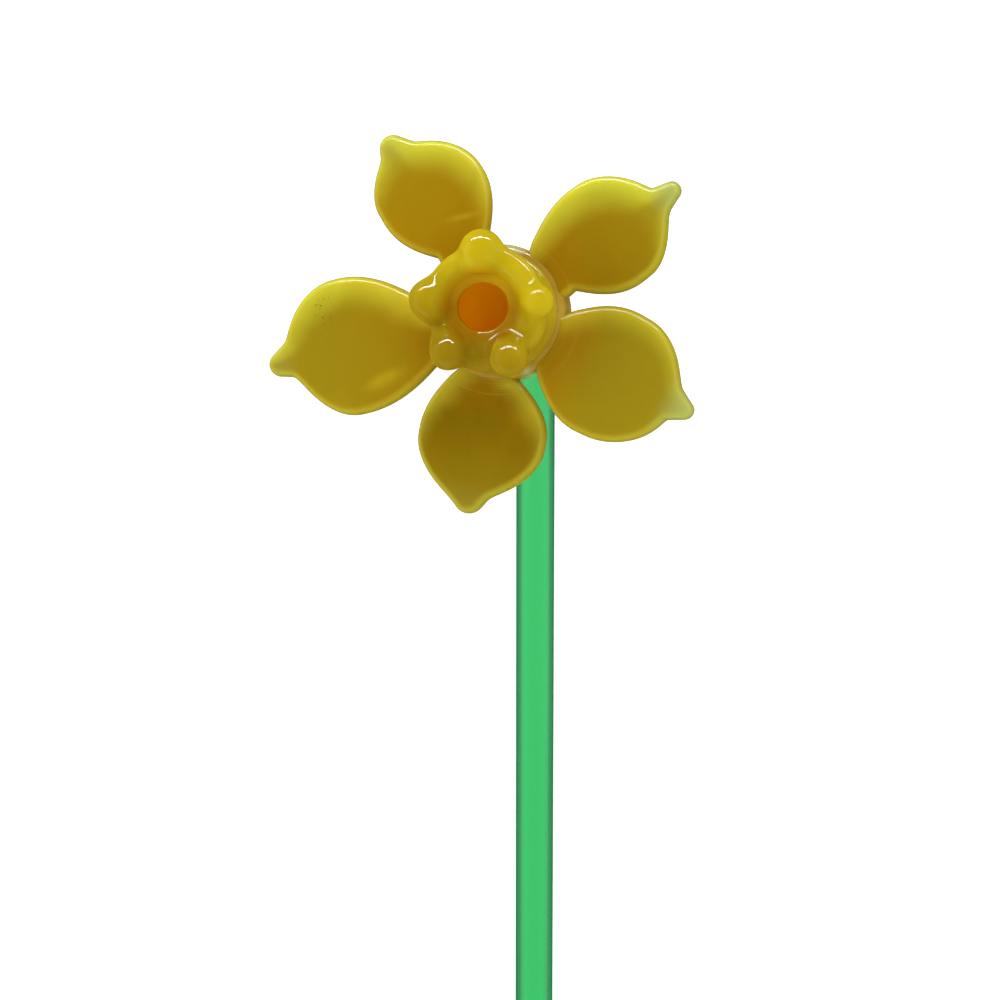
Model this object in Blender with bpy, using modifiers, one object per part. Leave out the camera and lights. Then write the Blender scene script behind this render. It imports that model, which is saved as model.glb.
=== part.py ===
"""A lamp-worked glass daffodil, lying down on its straight glass stem.

Five pressed petals and a lobed trumpet with an orange throat are fused to a round
collar, and the stem is fused to the collar's back. The stem lies along Y on the
floor with the flower at its +Y end. The flower has rolled to the left until the nib
of petal_1 touches the floor too, so it faces up, a little to the left and to +Y.
Sizes are in metres. The origin is under the middle of the whole thing, on the floor.
"""

import math
from dataclasses import dataclass

import bpy
import bmesh
from mathutils import Matrix, Vector

MM = 0.001
GAP = 0.3 * MM            # between pieces that are fused in the real one
WELD = 0.01 * MM          # points closer than this are one point

# Stem
STEM_DIAMETER = 7.0 * MM
STEM_LENGTH = 265.0 * MM
STEM_PAST_HUB = 5.0 * MM  # how far the fused end goes beyond the hub, to +Y
STEM_ASIDE = 6.4 * MM     # how far the stem lies to the right of the hub
STEM_END_ROUND = 0.8 * MM
STEM_SIDES = 24

# Head: its own Z is the flower's axis, and the petals lie across it
HEAD_PITCH = math.radians(-10.0)  # leans the face towards +Y
HEAD_ROLL = math.radians(-15.0)   # leans the face towards -X

# Collar
COLLAR_RADIUS = 12.2 * MM
COLLAR_HALF_RIM = 2.6 * MM
COLLAR_SHOULDER = 11.0 * MM
COLLAR_BACK = 9.6 * MM
COLLAR_BACK_RADIUS = 6.4 * MM

# Trumpet
TRUMPET_BASE_RADIUS = 10.2 * MM
TRUMPET_BASE = COLLAR_HALF_RIM + GAP
TRUMPET_LIP = 12.0 * MM          # height of the lip's centre line above the hub
TRUMPET_LIP_CIRCLE = 8.8 * MM    # radius of the lip's centre line
TRUMPET_LIP_ROUND = 2.0 * MM     # radius of the rolled lip
FUNNEL_FOOT = 9.6 * MM           # height at which the funnel meets the bore
BORE_RADIUS = 4.4 * MM
THROAT_WALL = 1.2 * MM
THROAT_FLOOR = 3.9 * MM          # height of the throat's underside above the hub
THROAT_TOP = FUNNEL_FOOT - 0.8 * MM
THROAT_RADIUS = BORE_RADIUS + THROAT_WALL
TURN_STEPS = 40

# Lobes round the trumpet's lip
LOBE_LONG = 1.25                 # length along the axis over width
LOBE_SIDES = 16
LOBE_RINGS = 10

# Petals
PETAL_THICKNESS = 4.0 * MM
PETAL_ROOT = 10.6 * MM           # stations start here, inside the collar
PETAL_AROUND = 16                # points round a petal's section
PETAL_ALONG = 24                 # sections from root to nib
BLADE_ROUND = 0.6                # lower is a rounder blade, higher a more pointed one
EDGE_NORM = 2.5                  # how tightly the blade blends with neck and nib


@dataclass
class Lobe:
    """A round lobe of the trumpet's lip, in millimetres."""

    azimuth: float   # degrees from the head's +X towards its +Y
    circle: float    # distance of its centre from the axis
    height: float    # height of its centre above the hub
    radius: float


@dataclass
class Edge:
    """One side edge of a petal's blade, in millimetres along and across the petal."""

    width: float     # half-width at the widest station
    belly: float     # the widest station, measured from the hub's centre
    start: float     # station at which the edge would leave the midline
    neck: float      # half-width at the neck


@dataclass
class Petal:
    """A pressed petal, in millimetres."""

    azimuth: float   # degrees from the head's +X towards its +Y
    reach: float     # from the hub's centre to the end of the nib
    shoulder: float  # station at which the blade's edges would meet
    nib: float       # radius of the nib
    left: Edge
    right: Edge
    curl: float      # rise of the tip towards the trumpet's side
    dish: float      # rise of the side edges towards the trumpet's side


LOBES = (
    Lobe(94.0, 10.5, 12.0, 3.5),
    Lobe(171.0, 10.4, 12.0, 3.1),
    Lobe(231.0, 9.7, 12.0, 3.2),
    Lobe(304.0, 10.0, 12.2, 3.3),
    Lobe(9.0, 10.2, 12.0, 3.1),
)

PETALS = {
    "petal_1": Petal(
        126.0, 38.6, 36.1, 2.4, Edge(9.2, 26.3, 13.8, 4.2), Edge(11.5, 24.3, 11.0, 4.2), 0.0, 0.3
    ),
    "petal_2": Petal(
        36.4, 39.2, 35.1, 1.9, Edge(11.0, 23.5, 7.2, 4.2), Edge(10.1, 24.1, 12.9, 4.3), 0.6, 0.5
    ),
    "petal_3": Petal(
        -24.7, 39.1, 36.2, 2.1, Edge(11.2, 22.7, 9.0, 4.2), Edge(12.5, 23.5, 7.3, 4.2), 0.8, 0.4
    ),
    "petal_4": Petal(
        -96.9, 36.0, 33.9, 2.4, Edge(12.0, 20.9, 11.0, 5.8), Edge(11.5, 23.5, 7.5, 4.2), 0.4, 0.6
    ),
    "petal_5": Petal(
        -166.0, 44.4, 40.8, 2.3, Edge(12.2, 26.9, 11.5, 4.8), Edge(13.0, 30.1, 12.0, 4.2), -1.4, 0.4
    ),
}

# Linear colours with roughness
YELLOW = (0.42, 0.27, 0.010)
ORANGE = (0.45, 0.10, 0.002)
AMBER = (0.35, 0.18, 0.010)
GREEN = (0.045, 0.56, 0.14)
POLISHED = 0.08


def clear_scene():
    for obj in list(bpy.data.objects):
        bpy.data.objects.remove(obj, do_unlink=True)
    for group in list(bpy.data.collections):
        bpy.data.collections.remove(group)


def new_collection(name):
    group = bpy.data.collections.new(name)
    bpy.context.scene.collection.children.link(group)
    return group


def glass(name, colour):
    """A polished glass finish in one colour."""
    material = bpy.data.materials.new(name)
    material.use_nodes = True
    shader = material.node_tree.nodes["Principled BSDF"]
    shader.inputs["Base Color"].default_value = (*colour, 1.0)
    shader.inputs["Roughness"].default_value = POLISHED
    shader.inputs["Metallic"].default_value = 0.0
    material.diffuse_color = (*colour, 1.0)
    return material


def add_empty(name, group, parent=None):
    empty = bpy.data.objects.new(name, None)
    group.objects.link(empty)
    empty.parent = parent
    return empty


def add_mesh(name, bm, group, parent, material=None):
    """Turns a bmesh into an object that hangs on the parent."""
    mesh = bpy.data.meshes.new(name)
    bm.to_mesh(mesh)
    bm.free()
    mesh.shade_smooth()
    mesh.set_sharp_from_angle(angle=math.radians(40.0))
    if material:
        mesh.materials.append(material)
    obj = bpy.data.objects.new(name, mesh)
    group.objects.link(obj)
    obj.parent = parent
    return obj


def as_cutter(obj):
    obj.hide_render = True
    obj.display_type = "WIRE"
    return obj


def cut(obj, cutter):
    """Takes the cutter's shape out of the object."""
    boolean = obj.modifiers.new("cut_" + cutter.name, "BOOLEAN")
    boolean.operation = "DIFFERENCE"
    boolean.solver = "EXACT"
    boolean.object = cutter


def arc(centre, radius, start, end, steps):
    """Points of an arc in the profile plane, angles in degrees from +X towards +Z."""
    points = []
    for step in range(steps + 1):
        angle = math.radians(start + (end - start) * step / steps)
        points.append((centre[0] + radius * math.cos(angle), centre[1] + radius * math.sin(angle)))
    return points


def turned(name, profile, group, parent, material):
    """Turns a profile of (radius, height) points about the parent's Z."""
    bm = bmesh.new()
    verts = [bm.verts.new((radius, 0.0, height)) for radius, height in profile]
    for lower, upper in zip(verts, verts[1:]):
        bm.edges.new((lower, upper))
    obj = add_mesh(name, bm, group, parent, material)
    screw = obj.modifiers.new("turn", "SCREW")
    screw.axis = "Z"
    screw.angle = math.tau
    screw.steps = TURN_STEPS
    screw.render_steps = TURN_STEPS
    screw.use_merge_vertices = True
    screw.merge_threshold = WELD
    screw.use_smooth_shade = True
    return obj


def cylinder_along_z(name, radius, length, sides, group, parent):
    """A closed cylinder about its own Z whose flats, not corners, are at the radius."""
    bm = bmesh.new()
    bmesh.ops.create_cone(
        bm,
        cap_ends=True,
        segments=sides,
        radius1=radius / math.cos(math.pi / sides),
        radius2=radius / math.cos(math.pi / sides),
        depth=length,
        matrix=Matrix.Rotation(math.pi / sides, 4, "Z"),
    )
    return add_mesh(name, bm, group, parent)


def make_stem(group, root):
    """The straight rod, along Y, lying on one of its flats, with fire-rounded ends."""
    stem = cylinder_along_z("stem", STEM_DIAMETER / 2, STEM_LENGTH, STEM_SIDES, group, root)
    stem.rotation_euler = (math.pi / 2, 0.0, 0.0)
    stem.location = (0.0, STEM_PAST_HUB - STEM_LENGTH / 2, STEM_DIAMETER / 2)
    stem.data.materials.append(glass("stem_glass", GREEN))
    bevel = stem.modifiers.new("round_ends", "BEVEL")
    bevel.width = STEM_END_ROUND
    bevel.segments = 2
    bevel.limit_method = "ANGLE"
    bevel.angle_limit = math.radians(60.0)
    return stem


def make_collar(group, head):
    """The round boss behind the trumpet: a straight rim and a domed back."""
    bend = COLLAR_RADIUS - COLLAR_SHOULDER
    back_bend = 3.0 * MM
    profile = [(0.0, COLLAR_HALF_RIM)]
    profile += arc((COLLAR_SHOULDER, COLLAR_HALF_RIM - bend), bend, 90, 0, 4)
    profile += arc((COLLAR_RADIUS - back_bend, -COLLAR_HALF_RIM), back_bend, 0, -60, 3)
    profile += [(COLLAR_BACK_RADIUS + 1.4 * MM, 1.2 * MM - COLLAR_BACK)]
    profile += [(COLLAR_BACK_RADIUS - 1.4 * MM, -COLLAR_BACK)]
    profile += [(0.0, -COLLAR_BACK)]
    return turned("collar", profile, group, head, glass("collar_glass", AMBER))


def stem_clearance(group, root, stem):
    """The space that the collar leaves for the stem."""
    length = STEM_LENGTH + 2 * GAP
    space = cylinder_along_z(
        "stem_clearance", STEM_DIAMETER / 2 + GAP, length, STEM_SIDES, group, root
    )
    space.rotation_euler = stem.rotation_euler
    space.location = stem.location
    return as_cutter(space)


def make_trumpet(group, cutters, head):
    """The cup: a rolled lip, a funnel, a bore that closes over the throat, five lobes."""
    hole = THROAT_RADIUS + GAP
    profile = [(0.0, THROAT_FLOOR - GAP), (hole, THROAT_FLOOR - GAP)]
    profile += [(hole, THROAT_TOP + GAP), (BORE_RADIUS, THROAT_TOP + GAP)]
    profile += [(BORE_RADIUS, FUNNEL_FOOT)]
    profile += arc((TRUMPET_LIP_CIRCLE, TRUMPET_LIP), TRUMPET_LIP_ROUND, 200, 0, 8)
    profile += [(TRUMPET_LIP_CIRCLE + TRUMPET_LIP_ROUND - 0.5 * MM, 7.0 * MM)]
    profile += [(TRUMPET_BASE_RADIUS, TRUMPET_BASE), (0.0, TRUMPET_BASE)]
    trumpet = turned("trumpet", profile, group, head, glass("trumpet_glass", YELLOW))
    lobes = bpy.data.collections.new("lobes")
    cutters.children.link(lobes)
    for number, lobe in enumerate(LOBES, 1):
        make_lobe("lobe_%d" % number, lobe, lobes, head)
    boolean = trumpet.modifiers.new("lobes", "BOOLEAN")
    boolean.operation = "UNION"
    boolean.solver = "EXACT"
    boolean.operand_type = "COLLECTION"
    boolean.collection = lobes
    return trumpet


def make_lobe(name, lobe, group, head):
    """An egg-shaped lobe that stands on the lip."""
    bm = bmesh.new()
    bmesh.ops.create_uvsphere(
        bm, u_segments=LOBE_SIDES, v_segments=LOBE_RINGS, radius=lobe.radius * MM
    )
    bmesh.ops.scale(bm, vec=(1.0, 1.0, LOBE_LONG), verts=bm.verts)
    obj = add_mesh(name, bm, group, head)
    angle = math.radians(lobe.azimuth)
    across = lobe.circle * MM
    obj.location = (across * math.cos(angle), across * math.sin(angle), lobe.height * MM)
    obj.rotation_euler = (0.0, 0.0, angle)
    return as_cutter(obj)


def make_throat(group, head):
    """The orange lining: a small cup with a rounded floor inside."""
    floor_bend = BORE_RADIUS * 0.8
    inside_floor = THROAT_FLOOR + THROAT_WALL
    profile = [(0.0, inside_floor)]
    profile += arc(
        (BORE_RADIUS - floor_bend, inside_floor + floor_bend), floor_bend, -90, 0, 5
    )
    profile += [(BORE_RADIUS, THROAT_TOP), (THROAT_RADIUS, THROAT_TOP)]
    profile += [(THROAT_RADIUS, THROAT_FLOOR), (0.0, THROAT_FLOOR)]
    return turned("throat", profile, group, head, glass("throat_glass", ORANGE))


def half_width(station, petal, edge):
    """Half-width of one side of the petal at a station, all in millimetres.

    The blade swells and fades like a cosine, while the neck or the nib takes over.
    """
    if station < edge.belly:
        turn = (edge.belly - station) / (edge.belly - edge.start)
        end = edge.neck
    else:
        turn = (station - edge.belly) / (petal.shoulder - edge.belly)
        end = petal.nib * nib_close(station, petal)
    quarter_turn = math.pi / 2 * min(1.0, turn)
    blade = edge.width * max(0.0, math.cos(quarter_turn)) ** BLADE_ROUND
    return (blade**EDGE_NORM + (end * math.sin(quarter_turn)) ** EDGE_NORM) ** (1 / EDGE_NORM)


def nib_close(station, petal):
    """1 along the petal, falling to 0 round the nib's end."""
    into_end = (station - (petal.reach - petal.nib)) / petal.nib
    return math.sqrt(max(0.0, 1.0 - max(0.0, into_end) ** 2))


def section_point(turn):
    """Goes once round a flat section with round sides.

    Gives how far out along the flat, from -1 to 1, and the direction on the round side.
    """
    eighths = (turn / math.tau * 8) % 8
    side = 1.0 if eighths < 2 or eighths > 6 else -1.0
    height = 1.0 if eighths < 4 else -1.0
    from_side = min(eighths % 4, 4 - eighths % 4)
    if from_side <= 1:
        angle = from_side * math.pi / 2
        return side, math.cos(angle) * side, math.sin(angle) * height
    return side * (2 - from_side), 0.0, height


def make_petal(name, petal, group, head, material):
    """A ball drawn out into a pressed blade with a neck and a nib."""
    bm = bmesh.new()
    bmesh.ops.create_uvsphere(bm, u_segments=PETAL_AROUND, v_segments=PETAL_ALONG, radius=1.0)
    root = PETAL_ROOT / MM
    half_thickness = PETAL_THICKNESS / MM / 2
    for vert in bm.verts:
        along = (1.0 - max(-1.0, min(1.0, vert.co.z))) / 2
        station = root + along * (petal.reach - root)
        flat, out, up = section_point(math.atan2(vert.co.y, vert.co.x))
        if math.hypot(vert.co.x, vert.co.y) < 1e-6:
            flat, out, up = 0.0, 0.0, 0.0
        edge = petal.left if flat + out >= 0 else petal.right
        width = half_width(station, petal, edge)
        thickness = half_thickness * nib_close(station, petal)
        bend = min(width, thickness)
        across = (width - bend) * flat + bend * out
        tip_share = (station - root) / (petal.reach - root)
        lift = petal.curl * tip_share**2 + petal.dish * (across / edge.width) ** 2
        vert.co = Vector((station, across, thickness * up + lift)) * MM
    bmesh.ops.recalc_face_normals(bm, faces=bm.faces)
    obj = add_mesh(name, bm, group, head, material)
    obj.rotation_euler = (0.0, 0.0, math.radians(petal.azimuth))
    return obj


def petal_clearance(group, head):
    """The space that the petals leave for the collar's rim."""
    height = 2 * PETAL_THICKNESS
    space = cylinder_along_z(
        "collar_clearance", COLLAR_RADIUS + GAP, height, TURN_STEPS, group, head
    )
    return as_cutter(space)


def world_box(objects):
    """Lowest and highest corners of the finished shapes, in world space."""
    bpy.context.view_layer.update()
    graph = bpy.context.evaluated_depsgraph_get()
    low = Vector((math.inf,) * 3)
    high = Vector((-math.inf,) * 3)
    for obj in objects:
        finished = obj.evaluated_get(graph)
        mesh = finished.to_mesh()
        for vert in mesh.vertices:
            point = finished.matrix_world @ vert.co
            low = Vector(map(min, low, point))
            high = Vector(map(max, high, point))
        finished.to_mesh_clear()
    return low, high


def main():
    clear_scene()
    parts = new_collection("daffodil")
    cutters = new_collection("cutters")
    root = add_empty("daffodil_root", parts)
    head = add_empty("head", parts, root)
    head.rotation_euler = (HEAD_PITCH, HEAD_ROLL, 0.0)
    head.location.x = -STEM_ASIDE

    stem = make_stem(parts, root)
    collar = make_collar(parts, head)
    trumpet = make_trumpet(parts, cutters, head)
    throat = make_throat(parts, head)
    space = petal_clearance(cutters, head)
    petals = []
    for name, petal in PETALS.items():
        blade = make_petal(name, petal, parts, head, glass(name + "_glass", YELLOW))
        cut(blade, space)
        petals.append(blade)

    # The head rests on its lowest petal, at the height of the stem's underside.
    head.location.z -= world_box(petals)[0].z
    cut(collar, stem_clearance(cutters, root, stem))

    low, high = world_box([stem, collar, trumpet, throat, *petals])
    root.location = (-(low.x + high.x) / 2, -(low.y + high.y) / 2, -low.z)


main()
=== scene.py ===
"""Dresses the glass daffodil: opal petals and trumpet, an orange throat, a clear green stem.

The head's own Z is the flower's axis, with the petals lying across it. Each piece of the head
is made about the hub in that frame, in metres, and then set where the solid parts hold it.
"""

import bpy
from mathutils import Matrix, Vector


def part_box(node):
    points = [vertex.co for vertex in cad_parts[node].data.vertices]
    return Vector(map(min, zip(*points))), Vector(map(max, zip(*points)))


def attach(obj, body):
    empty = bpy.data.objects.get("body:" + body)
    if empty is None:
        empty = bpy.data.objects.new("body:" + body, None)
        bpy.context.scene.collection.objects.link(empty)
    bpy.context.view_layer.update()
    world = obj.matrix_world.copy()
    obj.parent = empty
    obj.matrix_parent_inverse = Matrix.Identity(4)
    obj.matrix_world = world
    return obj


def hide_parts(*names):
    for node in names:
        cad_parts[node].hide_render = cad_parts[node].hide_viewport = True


bl_info = {
    "name": "Glass daffodil",
    "version": (1, 0, 0),
    "blender": (4, 5, 0),
    "location": "3D View > Sidebar > Daffodil",
    "description": "Makes the finished pieces of a lamp-worked glass daffodil",
    "category": "Object",
}

import math
from dataclasses import dataclass, fields

import bmesh
import bpy
import numpy as np
from bpy.props import FloatProperty, FloatVectorProperty, IntProperty, PointerProperty
from mathutils import Euler, Matrix, Vector

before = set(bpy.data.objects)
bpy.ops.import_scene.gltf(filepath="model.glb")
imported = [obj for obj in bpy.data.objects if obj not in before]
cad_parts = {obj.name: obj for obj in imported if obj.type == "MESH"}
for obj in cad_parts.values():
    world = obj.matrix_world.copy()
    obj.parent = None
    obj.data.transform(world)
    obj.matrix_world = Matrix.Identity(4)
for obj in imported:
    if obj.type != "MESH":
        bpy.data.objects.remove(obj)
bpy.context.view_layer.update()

MM = 0.001
BODY = "root"

# The head's turn, and the place of its parts along its own Z
HEAD_PITCH = math.radians(-10.0)
HEAD_ROLL = math.radians(-15.0)
THROAT_MIDDLE = 6.35 * MM    # from the hub to the middle of the throat's solid
COLLAR_RADIUS = 12.2 * MM

HEAD_TURN = Euler((HEAD_PITCH, HEAD_ROLL, 0.0)).to_matrix()
THROAT_LOW, THROAT_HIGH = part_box("throat")
HUB = (THROAT_LOW + THROAT_HIGH) / 2 - HEAD_TURN @ Vector((0.0, 0.0, THROAT_MIDDLE))
HEAD_PLACE = Matrix.Translation(HUB) @ HEAD_TURN.to_4x4()


@dataclass
class Edge:
    """One side edge of a petal's blade, in millimetres along and across the petal."""

    width: float     # half-width at the widest station
    belly: float     # the widest station, measured from the hub's centre
    start: float     # station at which the edge would leave the midline
    neck: float      # half-width at the neck
    point: float     # how drawn out the blade's end is, higher for a longer point
    shoulder: float  # station at which the edge would meet the midline without a nib
    fillet: float    # how widely the blade runs into the nib
    spread: float    # how fast the nib widens towards the blade


@dataclass
class Petal:
    """A pressed petal, in millimetres."""

    azimuth: float   # degrees from the head's +X towards its +Y
    reach: float     # from the hub's centre to the end of the nib
    nib: float       # radius of the nib
    lean: float      # how far the nib stands to the left of the midline
    left: Edge
    right: Edge
    curl: float      # rise of the tip towards the trumpet's side
    dish: float      # rise of the side edges towards the trumpet's side
    depth: float     # how deep the yellow is, from 0, pale, to 1, dark
    green: float     # how much its middle leans to green, from 0 to 1
    lime: float      # how much its rim leans to green
    glow: float      # how strongly light is painted into its rim
    clear: float     # how clear the nib is


@dataclass
class Mark:
    """A patch of specks, threads or a painted reflection on a petal, in millimetres."""

    petal: str
    kind: str
    out: float       # its middle, from the hub's centre along the petal
    across: float    # its middle, to the left of the midline
    long: float      # half its length
    wide: float      # half its width
    turn: float      # degrees from the petal's own line towards its left


@dataclass
class Lobe:
    """A round lobe of the trumpet's lip, in millimetres."""

    azimuth: float   # degrees from the head's +X towards its +Y
    circle: float    # distance of its centre from the axis
    height: float    # height of its centre above the hub
    radius: float
    melt: float      # how widely it melts into the lip


PETALS = {
    "petal_1": Petal(
        azimuth=126.0, reach=38.45, nib=2.45, lean=0.05,
        left=Edge(8.75, 27.05, 14.65, 3.95, 0.69, 36.6, 1.4, 0.53),
        right=Edge(11.6, 24.3, 10.35, 2.8, 0.49, 35.25, 1.6, 0.73),
        curl=0.0, dish=0.3, depth=0.05, green=0.1, lime=0.5, glow=1.0, clear=0.3,
    ),
    "petal_2": Petal(
        azimuth=36.4, reach=38.85, nib=1.6, lean=-0.05,
        left=Edge(10.6, 23.7, 7.1, 2.8, 0.53, 34.7, 2.8, 0.28),
        right=Edge(10.15, 25.65, 13.45, 4.5, 0.72, 35.45, 2.65, 0.41),
        curl=0.6, dish=0.5, depth=0.35, green=0.3, lime=0.8, glow=1.0, clear=0.9,
    ),
    "petal_3": Petal(
        azimuth=-24.7, reach=39.2, nib=1.6, lean=-0.25,
        left=Edge(11.0, 24.5, 10.5, 4.75, 0.56, 35.6, 2.8, 0.57),
        right=Edge(12.3, 23.0, 9.4, 4.5, 0.39, 35.45, 3.6, 0.58),
        curl=0.8, dish=0.4, depth=0.25, green=0.85, lime=0.5, glow=0.5, clear=0.9,
    ),
    "petal_4": Petal(
        azimuth=-96.9, reach=35.9, nib=2.85, lean=-0.15,
        left=Edge(12.15, 22.25, 10.2, 3.95, 0.56, 33.2, 2.5, 0.67),
        right=Edge(11.1, 23.2, 7.95, 2.8, 0.67, 34.75, 3.95, 0.29),
        curl=0.4, dish=0.6, depth=0.9, green=0.6, lime=0.8, glow=0.55, clear=0.12,
    ),
    "petal_5": Petal(
        azimuth=-166.0, reach=44.6, nib=2.2, lean=-0.1,
        left=Edge(12.2, 28.6, 9.05, 2.8, 0.64, 40.4, 3.7, 0.27),
        right=Edge(12.8, 29.25, 11.1, 2.8, 0.45, 40.8, 2.8, 0.66),
        curl=-1.4, dish=0.4, depth=0.22, green=0.5, lime=0.4, glow=0.95, clear=0.25,
    ),
}

# What the flame left on single petals, and painted reflections
MARKS = (
    Mark("petal_5", "specks", 31.8, -7.2, 5.0, 2.4, 80.0),
    Mark("petal_5", "smear", 22.9, 7.1, 5.2, 1.7, 13.0),
    Mark("petal_1", "smear", 18.0, -3.8, 4.0, 0.7, 67.0),
    Mark("petal_2", "threads", 11.8, 3.0, 6.0, 2.4, 90.0),
    Mark("petal_2", "specks", 12.5, 2.0, 2.0, 1.3, 90.0),
    Mark("petal_4", "threads", 13.0, 0.0, 9.0, 2.0, 90.0),
)

LOBES = (
    Lobe(93.1, 9.75, 12.7, 3.8, 1.5),
    Lobe(173.0, 9.7, 12.6, 3.45, 2.0),
    Lobe(233.5, 9.8, 12.4, 3.1, 1.9),
    Lobe(301.5, 10.1, 12.7, 3.3, 1.6),
    Lobe(7.7, 10.1, 13.0, 2.75, 1.6),
)

# Where the lip sags between two lobes: azimuth and spread in degrees, from 0 to 1
SAGS = ((266.0, 22.0, 1.0), (334.0, 20.0, 0.9), (202.0, 9.0, 0.6))


# Settings, as a user would change them


def length(name, about, default):
    """A length property in metres."""
    return FloatProperty(name=name, description=about, default=default, unit="LENGTH", precision=5)


def tint(name, about, default):
    """A linear colour property."""
    return FloatVectorProperty(
        name=name, description=about, default=default, subtype="COLOR", size=3, min=0.0, max=1.0
    )


class PetalSettings(bpy.types.PropertyGroup):
    """Sizes and colours of the pressed petals."""

    half_thickness: length("Half thickness", "Half the thickness of the glass", 2.0 * MM)
    rim_width: length("Rim width", "How far the rounded rim reaches into the blade", 1.4 * MM)
    start: length("Start", "Distance from the hub at which the petal starts", 7.0 * MM)
    flare: length("Flare", "How much the neck swells where it melts into the collar", 0.2 * MM)
    wobble: length("Wobble", "Height of the slow waves that pressing leaves", 0.12 * MM)
    pale: tint("Pale", "Colour of the thick glass of the palest petal", (0.41, 0.23, 0.002))
    green: tint("Green", "The same where it leans to green", (0.38, 0.285, 0.010))
    deep: tint("Deep", "Colour of the thick glass of the deepest petal", (0.23, 0.132, 0.001))
    root: tint("Root", "Colour where the petal melts into the collar", (0.40, 0.20, 0.002))
    # The rim colour is the thin glass's own colour at the very edge, and painted light where the
    # glow spreads it further in
    rim: tint("Rim", "Colour of the thin glass at the rim", (0.66, 0.50, 0.018))
    lime: tint("Lime rim", "The same where it leans to green", (0.67, 0.69, 0.048))
    # Wound threads, real, painted paler as their highlights
    thread: tint("Thread", "Colour of the wound threads at the root", (0.70, 0.42, 0.06))
    # Painted shade: a dark line along a petal's outermost edge
    outline: tint("Outline", "Colour of the outermost edge", (0.24, 0.19, 0.008))
    # A painted highlight: the bright line just inside a petal's edge
    line: tint("Line", "Colour of the bright line inside the edge", (0.80, 0.76, 0.22))
    nib: tint("Nib", "Colour of the nearly clear nibs", (0.44, 0.49, 0.12))
    speck: tint("Speck", "Colour of the fine specks", (0.10, 0.06, 0.002))


class TrumpetSettings(bpy.types.PropertyGroup):
    """Sizes and colours of the trumpet with its lobes."""

    voxel: length("Voxel", "Size of the cells of the melted skin", 0.26 * MM)
    # Painted light and shade: the high side is the lit upper side of the lip, the low side its
    # shaded lower side
    high: tint("High side", "Colour of the pale side of the lip", (0.56, 0.43, 0.007))
    low: tint("Low side", "Colour of the deep side of the lip", (0.33, 0.215, 0.005))
    swirl: tint("Swirl", "Colour of the paler swirls", (0.62, 0.52, 0.02))
    # Painted light and shade in the funnel: pale on its upper side, deep on its lower side
    funnel: tint("Funnel", "Colour in the pale side of the funnel", (0.68, 0.41, 0.009))
    depth: tint("Depth", "Colour in the deep side of the funnel", (0.39, 0.195, 0.003))
    # Wound threads, real, painted paler as their highlights
    thread: tint("Thread", "Colour of the fine threads round the wall", (0.66, 0.45, 0.09))


class ThroatSettings(bpy.types.PropertyGroup):
    """Sizes and colour of the orange throat."""

    floor: length("Floor", "Height of the throat's floor above the hub", 5.2 * MM)
    # Painted light and shade: the pale side is the lit upper left, the deep side the shaded lower
    # right
    glass: tint("Glass", "Colour of the pale side", (0.66, 0.235, 0.0003))
    deep: tint("Deep", "Colour of the deep side", (0.38, 0.07, 0.0003))
    # Painted light: the emission stands in for light that reaches the bore
    glow: FloatProperty(name="Glow", description="Light that the glass passes on", default=0.16)


class CollarSettings(bpy.types.PropertyGroup):
    """Sizes and colours of the collar."""

    threads: IntProperty(name="Threads", description="Wound threads on the shoulder", default=5)
    glass: tint("Glass", "Colour of the glass", (0.36, 0.17, 0.010))
    pale: tint("Pale", "Colour of the paler swirls", (0.56, 0.39, 0.05))
    clear: tint("Clear", "Colour where the glass stays clear", (0.50, 0.48, 0.19))


class StemSettings(bpy.types.PropertyGroup):
    """Sizes and colour of the stem."""

    sides: IntProperty(name="Sides", description="Points round the rod", default=96, min=12)
    end_round: length("End round", "Radius of the fire-polished ends", 1.2 * MM)
    absorbed: tint("Glass", "Colour that the clear glass lets through", (0.0, 0.803, 0.369))
    # Painted shade: the rod's sides and very edge are painted darker
    edge: tint("Edge", "Colour of the denser look along the rod's sides", (0.50, 0.27, 0.38))
    outermost: tint("Outermost", "The same at the very edge of the rod", (0.12, 0.24, 0.20))
    density: FloatProperty(
        name="Density", description="How strongly the glass absorbs, per metre", default=397.0
    )


class StageSettings(bpy.types.PropertyGroup):
    """The floor, the lights and the camera."""

    floor_size: length("Floor size", "Width of the floor", 16.0)
    floor_shade: FloatProperty(
        name="Floor shade", description="How much light the floor throws back", default=0.40
    )
    floor_glow: FloatProperty(
        name="Floor glow", description="Light that the white floor adds of its own", default=0.92
    )
    camera_distance: length("Camera distance", "From the hub to the camera's plane", 0.415)
    lens: FloatProperty(name="Lens", description="Focal length in millimetres", default=84.3)
    band: FloatProperty(name="Band", description="Strength of the bright horizon", default=0.4)


# Node trees

MIX_FIRST, MIX_SECOND, MIX_RESULT = 6, 7, 2    # the colour sockets of a Mix node


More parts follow.
